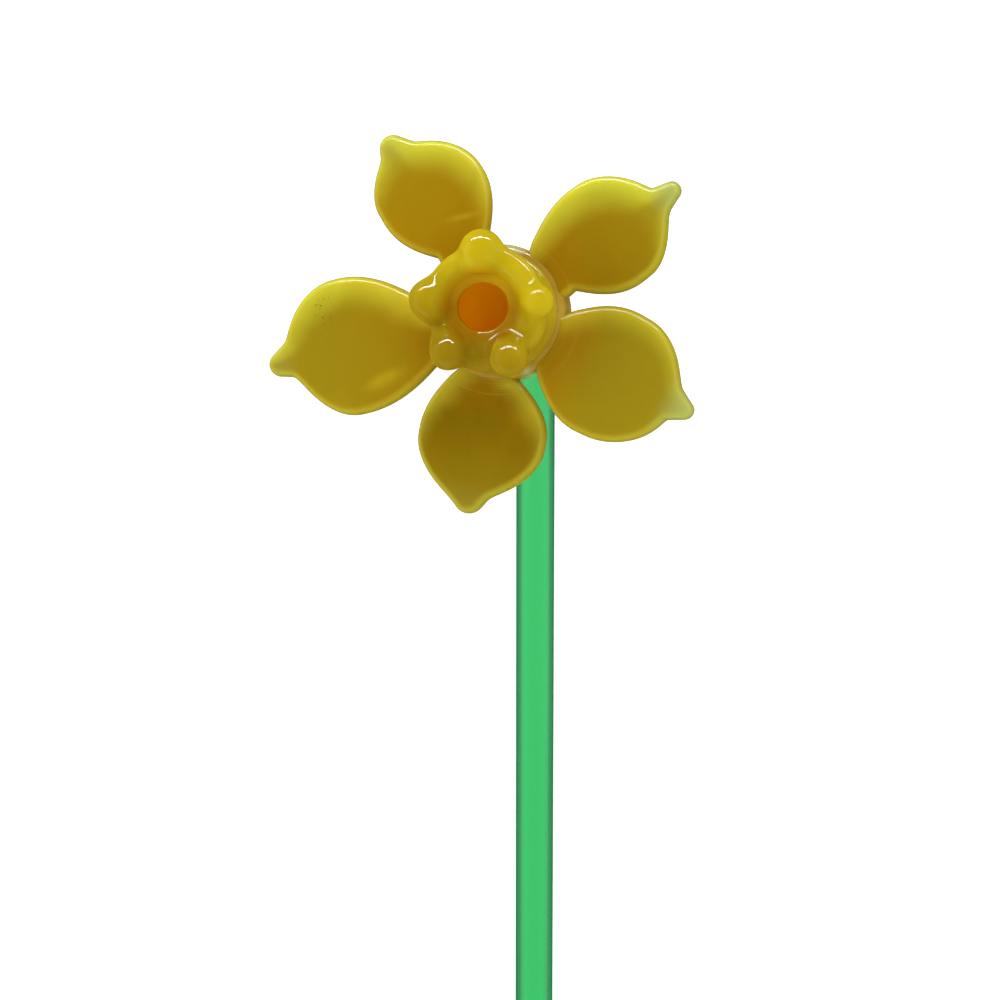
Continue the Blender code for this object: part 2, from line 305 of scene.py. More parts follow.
class Field:
    """A node's socket that Python's arithmetic works on."""

    def __init__(self, tree, socket):
        self.tree = tree
        self.socket = socket

    def math(self, operation, *others):
        """The result of a Math node."""
        node = self.tree.nodes.new("ShaderNodeMath")
        node.operation = operation
        for slot, value in zip(node.inputs, (self, *others)):
            plug(self.tree, value, slot)
        return Field(self.tree, node.outputs[0])

    def __add__(self, other):
        return self.math("ADD", other)

    def __sub__(self, other):
        return self.math("SUBTRACT", other)

    def __mul__(self, other):
        return self.math("MULTIPLY", other)

    def __truediv__(self, other):
        return self.math("DIVIDE", other)

    def __pow__(self, other):
        return self.math("POWER", other)

    def __neg__(self):
        return self.math("MULTIPLY", -1.0)

    def __rsub__(self, other):
        return (-self).math("ADD", other)

    def at_least(self, other):
        """The greater of the two."""
        return self.math("MAXIMUM", other)

    def at_most(self, other):
        """The smaller of the two."""
        return self.math("MINIMUM", other)

    def step(self, low, high):
        """0 below low and 1 above high, with a smooth rise between."""
        node = self.tree.nodes.new("ShaderNodeMapRange")
        node.interpolation_type = "SMOOTHSTEP"
        plug(self.tree, self, node.inputs["Value"])
        plug(self.tree, low, node.inputs["From Min"])
        plug(self.tree, high, node.inputs["From Max"])
        return Field(self.tree, node.outputs["Result"])

    def parts(self):
        """The X, Y and Z of a vector."""
        node = self.tree.nodes.new("ShaderNodeSeparateXYZ")
        plug(self.tree, self, node.inputs[0])
        return [Field(self.tree, out) for out in node.outputs]


def plug(tree, value, socket):
    """Links a field to a socket, or sets the socket's own value."""
    if isinstance(value, Field):
        tree.links.new(value.socket, socket)
    elif isinstance(value, bpy.types.NodeSocket):
        tree.links.new(value, socket)
    else:
        socket.default_value = value


def add_node(tree, kind, inputs=None, **settings):
    """A node with its settings and the inputs that are named."""
    node = tree.nodes.new(kind)
    for key, value in settings.items():
        setattr(node, key, value)
    for key, value in (inputs or {}).items():
        plug(tree, value, node.inputs[key])
    return node


def vector(tree, x, y, z):
    """A vector from its three parts."""
    node = add_node(tree, "ShaderNodeCombineXYZ", {"X": x, "Y": y, "Z": z})
    return Field(tree, node.outputs[0])


def noise(tree, place, scale, detail=2.0, rough=0.5, distortion=0.0):
    """Smooth noise about 0.5."""
    node = add_node(
        tree, "ShaderNodeTexNoise",
        {"Vector": place, "Scale": scale, "Detail": detail, "Roughness": rough,
         "Distortion": distortion},
    )
    return Field(tree, node.outputs[0])


def blend_colours(tree, amount, first, second):
    """The first colour where the amount is 0, running to the second where it is 1."""
    node = add_node(tree, "ShaderNodeMix", {"Factor": amount}, data_type="RGBA")
    plug(tree, rgba(first), node.inputs[MIX_FIRST])
    plug(tree, rgba(second), node.inputs[MIX_SECOND])
    return Field(tree, node.outputs[MIX_RESULT])


def rgba(colour):
    """A plain colour with its alpha, or the field as it is."""
    return colour if isinstance(colour, Field) else (*colour[:3], 1.0)


class Shape:
    """A Geometry Nodes tree with named inputs that makes one piece."""

    def __init__(self, name, inputs):
        self.tree = bpy.data.node_groups.new(name, "GeometryNodeTree")
        face = self.tree.interface
        face.new_socket("Geometry", in_out="OUTPUT", socket_type="NodeSocketGeometry")
        self.identifiers = {}
        for label, (kind, default) in inputs.items():
            socket = face.new_socket(label, in_out="INPUT", socket_type="NodeSocket" + kind)
            if default is not None:
                socket.default_value = default
            self.identifiers[label] = socket.identifier
        self.source = self.tree.nodes.new("NodeGroupInput")
        self.sink = self.tree.nodes.new("NodeGroupOutput")

    def input(self, label):
        """One of the tree's own inputs."""
        return Field(self.tree, self.source.outputs[label])

    def node(self, kind, inputs=None, **settings):
        """A node of this tree."""
        return add_node(self.tree, kind, inputs, **settings)

    def store(self, geometry, name, value):
        """Keeps a field as an attribute of the points."""
        node = self.node(
            "GeometryNodeStoreNamedAttribute",
            {"Geometry": geometry, "Name": name, "Value": value},
            data_type="FLOAT", domain="POINT",
        )
        return node.outputs["Geometry"]

    def recall(self, name):
        """A field that was kept as an attribute."""
        node = self.node("GeometryNodeInputNamedAttribute", {"Name": name}, data_type="FLOAT")
        return Field(self.tree, node.outputs["Attribute"])

    def forget(self, geometry, *names):
        """Drops attributes that only helped the making."""
        for name in names:
            node = self.node(
                "GeometryNodeRemoveAttribute", {"Geometry": geometry, "Name": name}
            )
            geometry = node.outputs["Geometry"]
        return geometry

    def finish(self, geometry):
        """Ends the tree with Realize Instances and Set Material."""
        real = self.node("GeometryNodeRealizeInstances", {"Geometry": geometry})
        coated = self.node(
            "GeometryNodeSetMaterial",
            {"Geometry": real.outputs[0], "Material": self.input("Material")},
        )
        self.tree.links.new(coated.outputs[0], self.sink.inputs[0])

    def make(self, name, values):
        """Runs the tree and gives its result as a plain mesh."""
        start = bpy.data.objects.new(name + "_start", bpy.data.meshes.new(name + "_start"))
        bpy.context.scene.collection.objects.link(start)
        modifier = start.modifiers.new("shape", "NODES")
        modifier.node_group = self.tree
        for label, value in values.items():
            modifier[self.identifiers[label]] = value
        graph = bpy.context.evaluated_depsgraph_get()
        mesh = bpy.data.meshes.new_from_object(
            start.evaluated_get(graph), preserve_all_data_layers=True, depsgraph=graph
        )
        empty = start.data
        bpy.data.objects.remove(start)
        bpy.data.meshes.remove(empty)
        mesh.name = name
        return mesh


# Shared mesh work


def place_piece(name, mesh, node=None, material=None, in_head=True):
    """Sets a finished mesh in the head or in the whole part, and ties it to the frame."""
    if in_head:
        mesh.transform(HEAD_PLACE)
    if material:
        mesh.materials.clear()
        mesh.materials.append(material)
    mesh.shade_smooth()
    piece = bpy.data.objects.new(name, mesh)
    bpy.context.scene.collection.objects.link(piece)
    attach(piece, BODY)
    if node:
        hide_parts(node)
    return piece


def arc(centre, radius, start, end, steps):
    """Points of an arc in the profile plane, angles in degrees from +X towards +Z."""
    points = []
    for step in range(steps + 1):
        angle = math.radians(start + (end - start) * step / steps)
        points.append((centre[0] + radius * math.cos(angle), centre[1] + radius * math.sin(angle)))
    return points


def smooth_path(turns, steps):
    """A smooth line through the points, in the way of Catmull and Rom."""
    knots = [Vector(point) for point in turns]
    knots = [2 * knots[0] - knots[1], *knots, 2 * knots[-1] - knots[-2]]
    path = []
    for a, b, c, d in zip(knots, knots[1:], knots[2:], knots[3:]):
        for step in range(steps):
            t = step / steps
            point = 2 * b + (c - a) * t + (2 * a - 5 * b + 4 * c - d) * t**2
            path.append(tuple((point + (3 * b - a - 3 * c + d) * t**3) / 2))
    path.append(tuple(knots[-2]))
    return path


def turned_mesh(name, profile, steps):
    """A closed mesh turned about Z from (radius, height) points."""
    bm = bmesh.new()
    verts = [bm.verts.new((radius, 0.0, height)) for radius, height in profile]
    edges = [bm.edges.new(pair) for pair in zip(verts, verts[1:])]
    bmesh.ops.spin(
        bm, geom=verts + edges, cent=(0, 0, 0), axis=(0, 0, 1), angle=math.tau,
        steps=steps, use_duplicate=False,
    )
    bmesh.ops.remove_doubles(bm, verts=bm.verts, dist=0.001 * MM)
    bmesh.ops.dissolve_degenerate(bm, edges=bm.edges, dist=0.0001 * MM)
    bmesh.ops.recalc_face_normals(bm, faces=bm.faces)
    mesh = bpy.data.meshes.new(name)
    bm.to_mesh(mesh)
    bm.free()
    return mesh


def points_of(mesh):
    """The places of a mesh's points, one row for each."""
    flat = np.empty(len(mesh.vertices) * 3, np.float32)
    mesh.vertices.foreach_get("co", flat)
    return flat.reshape(-1, 3).astype(float)


def ramp(values, low, high):
    """0 up to low and 1 from high on, with a straight rise between."""
    return np.clip((values - low) / (high - low), 0.0, 1.0)


def store_floats(mesh, name, values):
    """Keeps one number for each point of a mesh."""
    attribute = mesh.attributes.new(name, "FLOAT", "POINT")
    attribute.data.foreach_set("value", np.asarray(values, np.float32))


# Finishes

# Where a petal's colours change, in millimetres from its outline: begin and end of each change
NARROW_RIM = (0.4, 1.6)
HIGHLIGHT_RISE, HIGHLIGHT_FALL = (0.40, 0.62), (0.66, 0.95)
EDGE_SHADE_FALL = (0.05, 0.45)
CORE_START = -0.8
CORE_FULL = (2.2, 5.0)         # where the thick glass is full without painted rim light, and what that painted light adds

# The same in millimetres from the hub along the petal
ROOT_FALL = (13.0, 21.0)
TIP_RISE, LIME_RISE = (17.0, 36.0), (18.0, 36.0)
THREAD_RISE, THREAD_FALL = (10.5, 12.0), (13.5, 18.0)

# How strongly each colour of a petal shows where it is fullest
TIP_GREEN, TIP_PALE, TIP_LIME = 0.35, 0.45, 0.4
STREAK_SHARE, ROOT_SHARE, PAINTED_REFLECTION_SHARE, SPECK_SHARE = 0.05, 0.7, 0.5, 0.75
THREAD_SHARE, STRAY_THREADS = 0.5, 0.12
RIM_SHARE, NARROW_SHARE, EDGE_SHADE_SHARE = 0.8, 0.35, 0.3
HIGHLIGHT_SHARE, FAINT_HIGHLIGHT = 0.15, 0.05
LIT_SHARE = 0.3

# Patterns in the glass
SWIRLS_PER_METRE, SWIRL_REACH = 90.0, 3.0    # the reach in millimetres
STREAKS_PER_METRE = (150.0, 55.0, 55.0)
TURNS_PER_MM = 2.6             # wound threads at a petal's root
SPECKS_PER_MM = 1.5
SPECK_EDGE = (0.14, 0.34)      # in shares of the specks' spacing
WALL_TURNS_PER_MM = 1.8        # wound threads on the trumpet's wall
WALL_THREADS_END = (9.0, 12.0)    # heights in millimetres
WALL_THREAD_SHARE = 0.4

POLISH = 0.045
GLASS_IOR = 1.5


def new_material(name):
    """An empty node material with its output and a Principled shader."""
    material = bpy.data.materials.new(name)
    material.use_nodes = True
    tree = material.node_tree
    return material, tree, tree.nodes["Principled BSDF"], tree.nodes["Material Output"]


def attribute(tree, name):
    """A number kept on the points."""
    node = add_node(tree, "ShaderNodeAttribute", attribute_name=name)
    return Field(tree, node.outputs["Fac"])


def in_mm(tree, name):
    """A length kept on the points, in millimetres."""
    return attribute(tree, name) * (1 / MM)


def object_place(tree):
    """The place on the piece."""
    return Field(tree, add_node(tree, "ShaderNodeTexCoord").outputs["Object"])


def ripple(tree, shader, height, strength, distance):
    """A fine unevenness of the surface."""
    bump = add_node(
        tree, "ShaderNodeBump", {"Height": height, "Strength": strength, "Distance": distance}
    )
    tree.links.new(bump.outputs[0], shader.inputs["Normal"])


def glossy(shader, roughness=POLISH, subsurface=0.0):
    """The polish that all the opal glass shares."""
    shader.inputs["Roughness"].default_value = roughness
    shader.inputs["IOR"].default_value = GLASS_IOR
    shader.inputs["Subsurface Weight"].default_value = subsurface
    shader.inputs["Subsurface Radius"].default_value = (1.0, 0.75, 0.15)
    shader.inputs["Subsurface Scale"].default_value = 3.5 * MM


def petal_core(tree, settings, place, out, swirl, inner):
    """The colour of a petal's thick glass."""
    x, y, z = place.parts()
    far = out.step(*TIP_RISE)
    green = (attribute(tree, "green") + (1.0 - inner) * 0.5 + far * TIP_GREEN).at_most(1.0)
    core = blend_colours(tree, green, settings.pale, settings.green)
    deep = attribute(tree, "depth") * (1.0 - far * TIP_PALE)
    core = blend_colours(tree, deep, core, settings.deep)
    stretched = vector(tree, *(part * per for part, per in zip((x, y, z), STREAKS_PER_METRE)))
    streak = noise(tree, stretched, 1.0, 2.0, 0.5, 0.6).step(0.45, 0.75)
    core = blend_colours(tree, streak * STREAK_SHARE, core, settings.rim)
    near_root = 1.0 - (out + swirl * 8.0).step(*ROOT_FALL)
    core = blend_colours(tree, near_root * ROOT_SHARE, core, settings.root)
    radius = in_mm(tree, "radius")
    winding = noise(tree, vector(tree, radius * TURNS_PER_MM, x * 60.0, y * 60.0), 1.0)
    threads = winding.step(0.56, 0.66) * radius.step(*THREAD_RISE)
    threads = threads * (1.0 - radius.step(*THREAD_FALL))
    threads = threads * (attribute(tree, "threads") * THREAD_SHARE + STRAY_THREADS)
    # The threads are real, and are painted paler as their highlights
    core = blend_colours(tree, threads, core, settings.thread)
    # A painted reflection: paler patches on the faces of petals 5 and 1
    smear = attribute(tree, "smear") * (swirl + 0.6) * PAINTED_REFLECTION_SHARE
    return blend_colours(tree, smear, core, settings.rim)


def petal_glass(settings):
    """Opal glass: ochre where it is thick, yellow-green at the thin rim, with painted light on the
    rims that face away from the stem, a painted highlight line and a painted dark edge.
    """
    material, tree, shader, _ = new_material("petal_opal")
    place = object_place(tree)
    rim_distance = in_mm(tree, "rim_distance")
    out = in_mm(tree, "out")
    swirl = noise(tree, place, SWIRLS_PER_METRE, 3.0, 0.5, 1.2) - 0.5
    # Painted light: rims facing away from the stem, towards the lights, and the upper side of each
    # petal are painted paler
    glow = attribute(tree, "glow") + attribute(tree, "lit") * LIT_SHARE
    core_full = glow * CORE_FULL[1] + CORE_FULL[0]
    inner = (rim_distance + swirl * SWIRL_REACH).step(CORE_START, core_full)
    core = petal_core(tree, settings, place, out, swirl, inner)
    lime = (attribute(tree, "lime") + out.step(*LIME_RISE) * TIP_LIME).at_most(1.0)
    rim = blend_colours(tree, lime, settings.rim, settings.lime)
    narrow = (1.0 - rim_distance.step(*NARROW_RIM)) * NARROW_SHARE
    # The rim's share is painted light where the glow sets it, and the thin glass's own colour at
    # the narrow edge
    rim_share = ((1.0 - inner) * (glow * RIM_SHARE + 0.05)).at_least(narrow)
    skin = blend_colours(tree, rim_share, core, rim)
    skin = blend_colours(tree, attribute(tree, "clear"), skin, settings.nib)
    # A painted highlight along the line just inside the edge
    line = rim_distance.step(*HIGHLIGHT_RISE) * (1.0 - rim_distance.step(*HIGHLIGHT_FALL))
    skin = blend_colours(tree, line * (glow * HIGHLIGHT_SHARE + FAINT_HIGHLIGHT), skin, settings.line)
    # Painted shade along the outermost edge
    outline = 1.0 - rim_distance.step(*EDGE_SHADE_FALL)
    skin = blend_colours(tree, outline * EDGE_SHADE_SHARE, skin, settings.outline)
    spot = vector(tree, out * SPECKS_PER_MM, in_mm(tree, "across") * SPECKS_PER_MM, 0.0)
    cells = add_node(tree, "ShaderNodeTexVoronoi", {"Vector": spot, "Scale": 1.0})
    dot = 1.0 - Field(tree, cells.outputs["Distance"]).step(*SPECK_EDGE)
    dot = dot * noise(tree, spot, 0.9, 1.0).step(0.36, 0.56) * attribute(tree, "specks")
    skin = blend_colours(tree, dot * SPECK_SHARE, skin, settings.speck)
    plug(tree, skin, shader.inputs["Base Color"])
    ripple(tree, shader, noise(tree, place, 160.0, 1.0), 0.12, 0.3 * MM)
    glossy(shader, subsurface=0.6)
    return material


def trumpet_glass(settings):
    """Opal glass in lip and funnel colours, each painted paler towards the upper side and darker
    lower down, as painted light and shade.
    """
    material, tree, shader, _ = new_material("trumpet_opal")
    place = object_place(tree)
    # deep is painted shade: darker towards the lower side, away from the lights
    deep = attribute(tree, "deep")
    swirl = noise(tree, place, 120.0, 3.0, 0.5, 1.0).step(0.45, 0.85)
    outer = blend_colours(tree, deep, settings.high, settings.low)
    outer = blend_colours(tree, swirl * 0.5, outer, settings.swirl)
    height = in_mm(tree, "height")
    x, y, _ = place.parts()
    wound = vector(
        tree, in_mm(tree, "radius") * WALL_TURNS_PER_MM, height * WALL_TURNS_PER_MM,
        x * 50.0 + y * 50.0,
    )
    # Wound threads on the wall, painted paler as their highlights
    threads = noise(tree, wound, 1.0).step(0.55, 0.68) * (1.0 - height.step(*WALL_THREADS_END))
    outer = blend_colours(tree, threads * WALL_THREAD_SHARE, outer, settings.thread)
    inner = blend_colours(tree, deep, settings.funnel, settings.depth)
    skin = blend_colours(tree, attribute(tree, "funnel"), outer, inner)
    plug(tree, skin, shader.inputs["Base Color"])
    ripple(tree, shader, noise(tree, place, 200.0, 1.0), 0.1, 0.3 * MM)
    glossy(shader, subsurface=0.5)
    return material


def throat_glass(settings):
    """Orange glass that gives off painted light, darker towards the lower right as painted shade,
    with no gleam, since it lies deep in the bore.
    """
    material, tree, shader, _ = new_material("throat_orange")
    swirl = noise(tree, object_place(tree), 200.0) - 0.5
    # Painted shade: darker towards the lower right
    deep = attribute(tree, "deep") + swirl * 0.4
    skin = blend_colours(tree, deep, settings.glass, settings.deep)
    plug(tree, skin, shader.inputs["Base Color"])
    # Painted light: the throat gives off light of its own
    shader.inputs["Emission Color"].default_value = (*settings.glass, 1.0)
    shader.inputs["Emission Strength"].default_value = settings.glow
    glossy(shader, 0.5, 0.3)
    shader.inputs["Specular IOR Level"].default_value = 0.0
    return material


def collar_glass(settings):
    """Amber glass that stays nearly clear between the petals."""
    material, tree, shader, _ = new_material("collar_amber")
    swirl = noise(tree, object_place(tree), 150.0, 3.0)
    amber = blend_colours(tree, swirl, settings.glass, settings.pale)
    skin = blend_colours(tree, attribute(tree, "clear"), amber, settings.clear)
    plug(tree, skin, shader.inputs["Base Color"])
    glossy(shader, 0.08, 0.3)
    return material


# How far the rod's side has turned from the eye, from 0 to 1, where its painted shade begins and
# ends
SIDE_SHADE, OUTERMOST_SHADE = (0.14, 0.42), (0.38, 0.62)
WHITE = (1.0, 1.0, 1.0)


def stem_glass(settings):
    """Clear green glass that colours the light by how far it goes through it, with painted shade
    darkening its sides.
    """
    material, tree, shader, output = new_material("stem_green")
    # Painted shade that darkens the rod towards its sides
    turned = Field(tree, add_node(tree, "ShaderNodeLayerWeight").outputs["Facing"])
    side = blend_colours(tree, turned.step(*SIDE_SHADE), WHITE, settings.edge)
    side = blend_colours(tree, turned.step(*OUTERMOST_SHADE), side, settings.outermost)
    plug(tree, side, shader.inputs["Base Color"])
    shader.inputs["Roughness"].default_value = 0.0
    shader.inputs["IOR"].default_value = GLASS_IOR
    shader.inputs["Transmission Weight"].default_value = 1.0
    inside = add_node(
        tree, "ShaderNodeVolumeAbsorption",
        {"Color": (*settings.absorbed, 1.0), "Density": settings.density},
    )
    tree.links.new(inside.outputs[0], output.inputs["Volume"])
    return material


# Petals

NECK_NORM = 1.39    # how tightly the blade blends with the neck
NECK_POINT = 0.78   # how drawn out the blade is towards the neck
LEAN_LENGTH = 9.0 * MM    # the nib starts to lean that far from the petal's end
RIM_NORM = 2.05     # 2 is an elliptic rim, higher a squarer one
CURL_ROOT = 10.6 * MM
MELT_LENGTH = 1.3 * MM
LIT_MIDDLE = 23.0 * MM    # from the hub to the middle of a petal's blade
LIT_REACH = 14.0 * MM     # from there away from the stem, where the painted light on the rim is strongest
MARK_FULL = 1 / 3         # a mark is full up to that share of its size
WAVES_PER_METRE = 70.0    # the slow waves that pressing leaves
FACING = (-0.75, 0.8)     # how far a rim faces away from the stem, towards the lights, as its painted light begins and is full
RIM_LIGHT_BLUR = 30
NIB_FADE = (7.0 * MM, 1.0 * MM)    # from the end, where the nib begins to clear and is clearest


def petal_shape():
    """A ball drawn out into a pressed blade with a neck and a nib, all by formula."""
    number = ("Float", 0.0)
    labels = [
        "Reach", "Nib", "Lean", "Root", "Curl", "Dish", "Half Thickness", "Rim Width", "Collar",
        "Flare", "Wobble", "Azimuth", "Depth", "Green", "Lime", "Glow", "Clear Nib",
    ]
    labels += [side + field.name.title() for side in ("Left ", "Right ") for field in fields(Edge)]
    inputs = {label: number for label in labels}
    inputs["Around"] = ("Int", 128)
    inputs["Along"] = ("Int", 128)
    inputs["Seed"] = ("Float", 0.0)
    inputs["Material"] = ("Material", None)
    shape = Shape("pressed_petal", inputs)
    tree = shape.tree
    value = shape.input

    ball = shape.node(
        "GeometryNodeMeshUVSphere",
        {"Segments": value("Around"), "Rings": value("Along"), "Radius": 1.0},
    )
    x, y, z = Field(tree, shape.node("GeometryNodeInputPosition").outputs[0]).parts()
    station = value("Root") + (1.0 - z) * 0.5 * (value("Reach") - value("Root"))
    nib_start = value("Reach") - value("Nib")
    into_nib = ((station - nib_start) / value("Nib")).at_least(0.0)
    nib_close = (1.0 - into_nib * into_nib).at_least(0.0) ** 0.5
    ring = (x * x + y * y) ** 0.5
    flat = x / ring.at_least(1e-6)
    is_left = flat.math("GREATER_THAN", 0.0)

    def either(what):
        """The left or the right edge's number."""
        left = value("Left " + what)
        right = value("Right " + what)
        return right + is_left * (left - right)

    belly = either("Belly")
    before = ((belly - station) / (belly - either("Start"))).at_least(0.0).at_most(1.0)
    before = before * (math.pi / 2)
    after = ((station - belly) / (either("Shoulder") - belly)).at_least(0.0).at_most(1.0)
    after = after * (math.pi / 2)
    blade = either("Width") * before.math("COSINE").at_least(0.0) ** NECK_POINT
    neck = either("Neck") * before.math("SINE").at_least(0.0)
    neck_side = (blade**NECK_NORM + neck**NECK_NORM) ** (1.0 / NECK_NORM)
    blade = either("Width") * after.math("COSINE").at_least(0.0) ** either("Point")
    slant = (either("Spread") ** 2.0 + 1.0) ** 0.5
    round_from = nib_start + value("Nib") * either("Spread") / slant
    nib = value("Nib") * nib_close
    wedge = value("Nib") * slant + either("Spread") * (nib_start - station)
    nib = nib + station.math("LESS_THAN", round_from) * (wedge - nib)
    nib = nib * after.math("SINE")
    nib_side = blade.math("SMOOTH_MAX", nib, either("Fillet") * nib_close)
    width = nib_side + station.math("LESS_THAN", belly) * (neck_side - nib_side)
    past_collar = (station - value("Collar")).at_least(0.0) / MELT_LENGTH
    melt = (-past_collar).math("EXPONENT") * value("Flare")
    width = width + melt

    midline = value("Lean") * station.step(value("Reach") - LEAN_LENGTH, nib_start)
    across = midline + width * flat
    keep = ring.math("GREATER_THAN", 1e-5)
    tip_share = ((station - CURL_ROOT) / (value("Reach") - CURL_ROOT)).at_least(0.0)
    side_share = across / either("Width")
    lift = value("Curl") * tip_share * tip_share + value("Dish") * side_share * side_share
    side = y.math("SIGN")
    spot = vector(
        tree, station * WAVES_PER_METRE, across * WAVES_PER_METRE, value("Seed") + side * 3.0
    )
    wave = (noise(tree, spot, 1.0, 1.0) - 0.5) * 2.0 * value("Wobble")

    # The ball is first laid flat, which gives each point's distance from the outline.
    geometry = shape.store(ball.outputs["Mesh"], "off_outline", y.math("ABSOLUTE"))
    geometry = shape.store(geometry, "side", side * keep)
    geometry = shape.store(geometry, "lift", lift)
    geometry = shape.store(geometry, "thick", value("Half Thickness") + melt + wave)
    laid = shape.node(
        "GeometryNodeSetPosition",
        {"Geometry": geometry, "Position": vector(tree, station, across * keep, 0.0)},
    )
    outline = shape.node(
        "GeometryNodeDeleteGeometry",
        {"Geometry": laid.outputs[0],
         "Selection": shape.recall("off_outline").math("GREATER_THAN", 1e-5)},
        domain="POINT",
    )
    near = shape.node(
        "GeometryNodeProximity", {0: outline.outputs[0]}, target_element="EDGES"
    )
    distance = Field(tree, near.outputs["Distance"])
    here = Field(tree, shape.node("GeometryNodeInputPosition").outputs[0]).parts()
    edge = Field(tree, near.outputs["Position"]).parts()
    azimuth = value("Azimuth")
    # Painted light: how far each point's nearest rim faces the lights, blurred inwards
    facing = (edge[0] - here[0]) * azimuth.math("SINE")
    facing = (facing + (edge[1] - here[1]) * azimuth.math("COSINE")) / distance.at_least(0.02 * MM)
    glow = shape.node(
        "GeometryNodeBlurAttribute", {"Value": facing.step(*FACING), "Iterations": RIM_LIGHT_BLUR},
        data_type="FLOAT",
    )
    nib_share = here[0].step(*(value("Reach") - far for far in NIB_FADE))
    kept = {
        "rim_distance": distance,
        "glow": Field(tree, glow.outputs[0]) * value("Glow"),
        "clear": nib_share * value("Clear Nib"),
        "out": here[0],
        "across": here[1],
        "radius": (here[0] * here[0] + here[1] * here[1]) ** 0.5,
        "depth": value("Depth"),
        "green": value("Green"),
        "lime": value("Lime"),
    }
    geometry = laid.outputs[0]
    for name, field in kept.items():
        geometry = shape.store(geometry, name, field)

    from_rim = (1.0 - shape.recall("rim_distance") / value("Rim Width")).at_least(0.0)
    swell = (1.0 - from_rim**RIM_NORM).at_least(0.0) ** (1 / RIM_NORM)
    height = shape.recall("side") * shape.recall("thick") * swell + shape.recall("lift")
    pressed = shape.node(
        "GeometryNodeSetPosition",
        {"Geometry": geometry, "Position": vector(tree, here[0], here[1], height)},
    )
    geometry = shape.forget(pressed.outputs[0], "off_outline", "side", "lift", "thick")
    shape.finish(geometry)
    return shape


def petal_values(petal, settings, material, seed):
    """The numbers of one petal by the names of the tree's inputs, in metres."""
    values = {
        "Reach": petal.reach * MM,
        "Nib": petal.nib * MM,
        "Lean": petal.lean * MM,
        "Curl": petal.curl * MM,
        "Dish": petal.dish * MM,
        "Root": settings.start,
        "Half Thickness": settings.half_thickness,
        "Rim Width": settings.rim_width,
        "Collar": COLLAR_RADIUS,
        "Flare": settings.flare,
        "Wobble": settings.wobble,
        "Azimuth": math.radians(petal.azimuth),
        "Depth": petal.depth,
        "Green": petal.green,
        "Lime": petal.lime,
        "Glow": petal.glow,
        "Clear Nib": petal.clear,
        "Seed": seed,
        "Material": material,
    }
    for side, edge in (("Left ", petal.left), ("Right ", petal.right)):
        for key, number in vars(edge).items():
            values[side + key.title()] = number if key in ("point", "spread") else number * MM
    return values


def add_marks(mesh, name):
    """Keeps how strongly each kind of mark shows at the points of a petal."""
    points = points_of(mesh) / MM
    shown = {mark.kind: np.zeros(len(points)) for mark in MARKS}
    for mark in MARKS:
        if mark.petal == name:
            out, across = points[:, 0] - mark.out, points[:, 1] - mark.across
            turn = math.radians(mark.turn)
            along = out * math.cos(turn) + across * math.sin(turn)
            aside = across * math.cos(turn) - out * math.sin(turn)
            off = np.hypot(along / mark.long, aside / mark.wide)
            shown[mark.kind] = np.maximum(shown[mark.kind], ramp(off, 1.0, MARK_FULL))
    for kind, values in shown.items():
        store_floats(mesh, kind, values)


class DAFFODIL_OT_petals(bpy.types.Operator):
    """Makes the five pressed petals"""

    bl_idname = "daffodil.petals"
    bl_label = "Petals"

    def execute(self, context):
        settings = context.scene.daffodil_petals
        shape = petal_shape()
        material = petal_glass(settings)
        for number, (name, petal) in enumerate(PETALS.items()):
            mesh = shape.make(name, petal_values(petal, settings, material, 7.0 * number))
            add_marks(mesh, name)
            turn = math.radians(petal.azimuth)
            mesh.transform(Matrix.Rotation(turn, 4, "Z"))
            # Painted light: the side of each petal away from the stem is painted paler
            up = points_of(mesh)[:, 1] - LIT_MIDDLE * math.sin(turn)
            store_floats(mesh, "lit", np.clip(up / LIT_REACH, -1.0, 1.0))
            place_piece(name + "_glass", mesh, name)
        return {"FINISHED"}


# Trumpet

LOBE_LONG = 1.05      # the lobes are a little taller than wide
SKIN_SWELL = 0.15 * MM    # how far the cup's glass swells in the flame
FUNNEL_FOOT = 9.6 * MM
BORE_RADIUS = 4.5 * MM
BORE_ASIDE = Vector((-0.75, 0.4, 0.0)) * MM
BORE_OVAL = (1.03, 0.95)    # the bore is a little wider than it is high
BORE_DEEP = 0.8 * MM        # depth of the bore's own wall below the funnel
CUP_FOOT = 1.6 * MM         # height of the cup's foot, inside the collar
CUP_INSIDE = 5.0 * MM       # radius inside the cup's foot
LIP_CIRCLE = 9.1 * MM
LIP_HEIGHT = 11.9 * MM
LIP_ROUND = 1.7 * MM
RING_RADIUS = 5.6 * MM
SAG_DEPTH = 2.8 * MM
SAG_RISE = (7.0 * MM, 14.0 * MM)    # heights between which the sag grows to its full depth


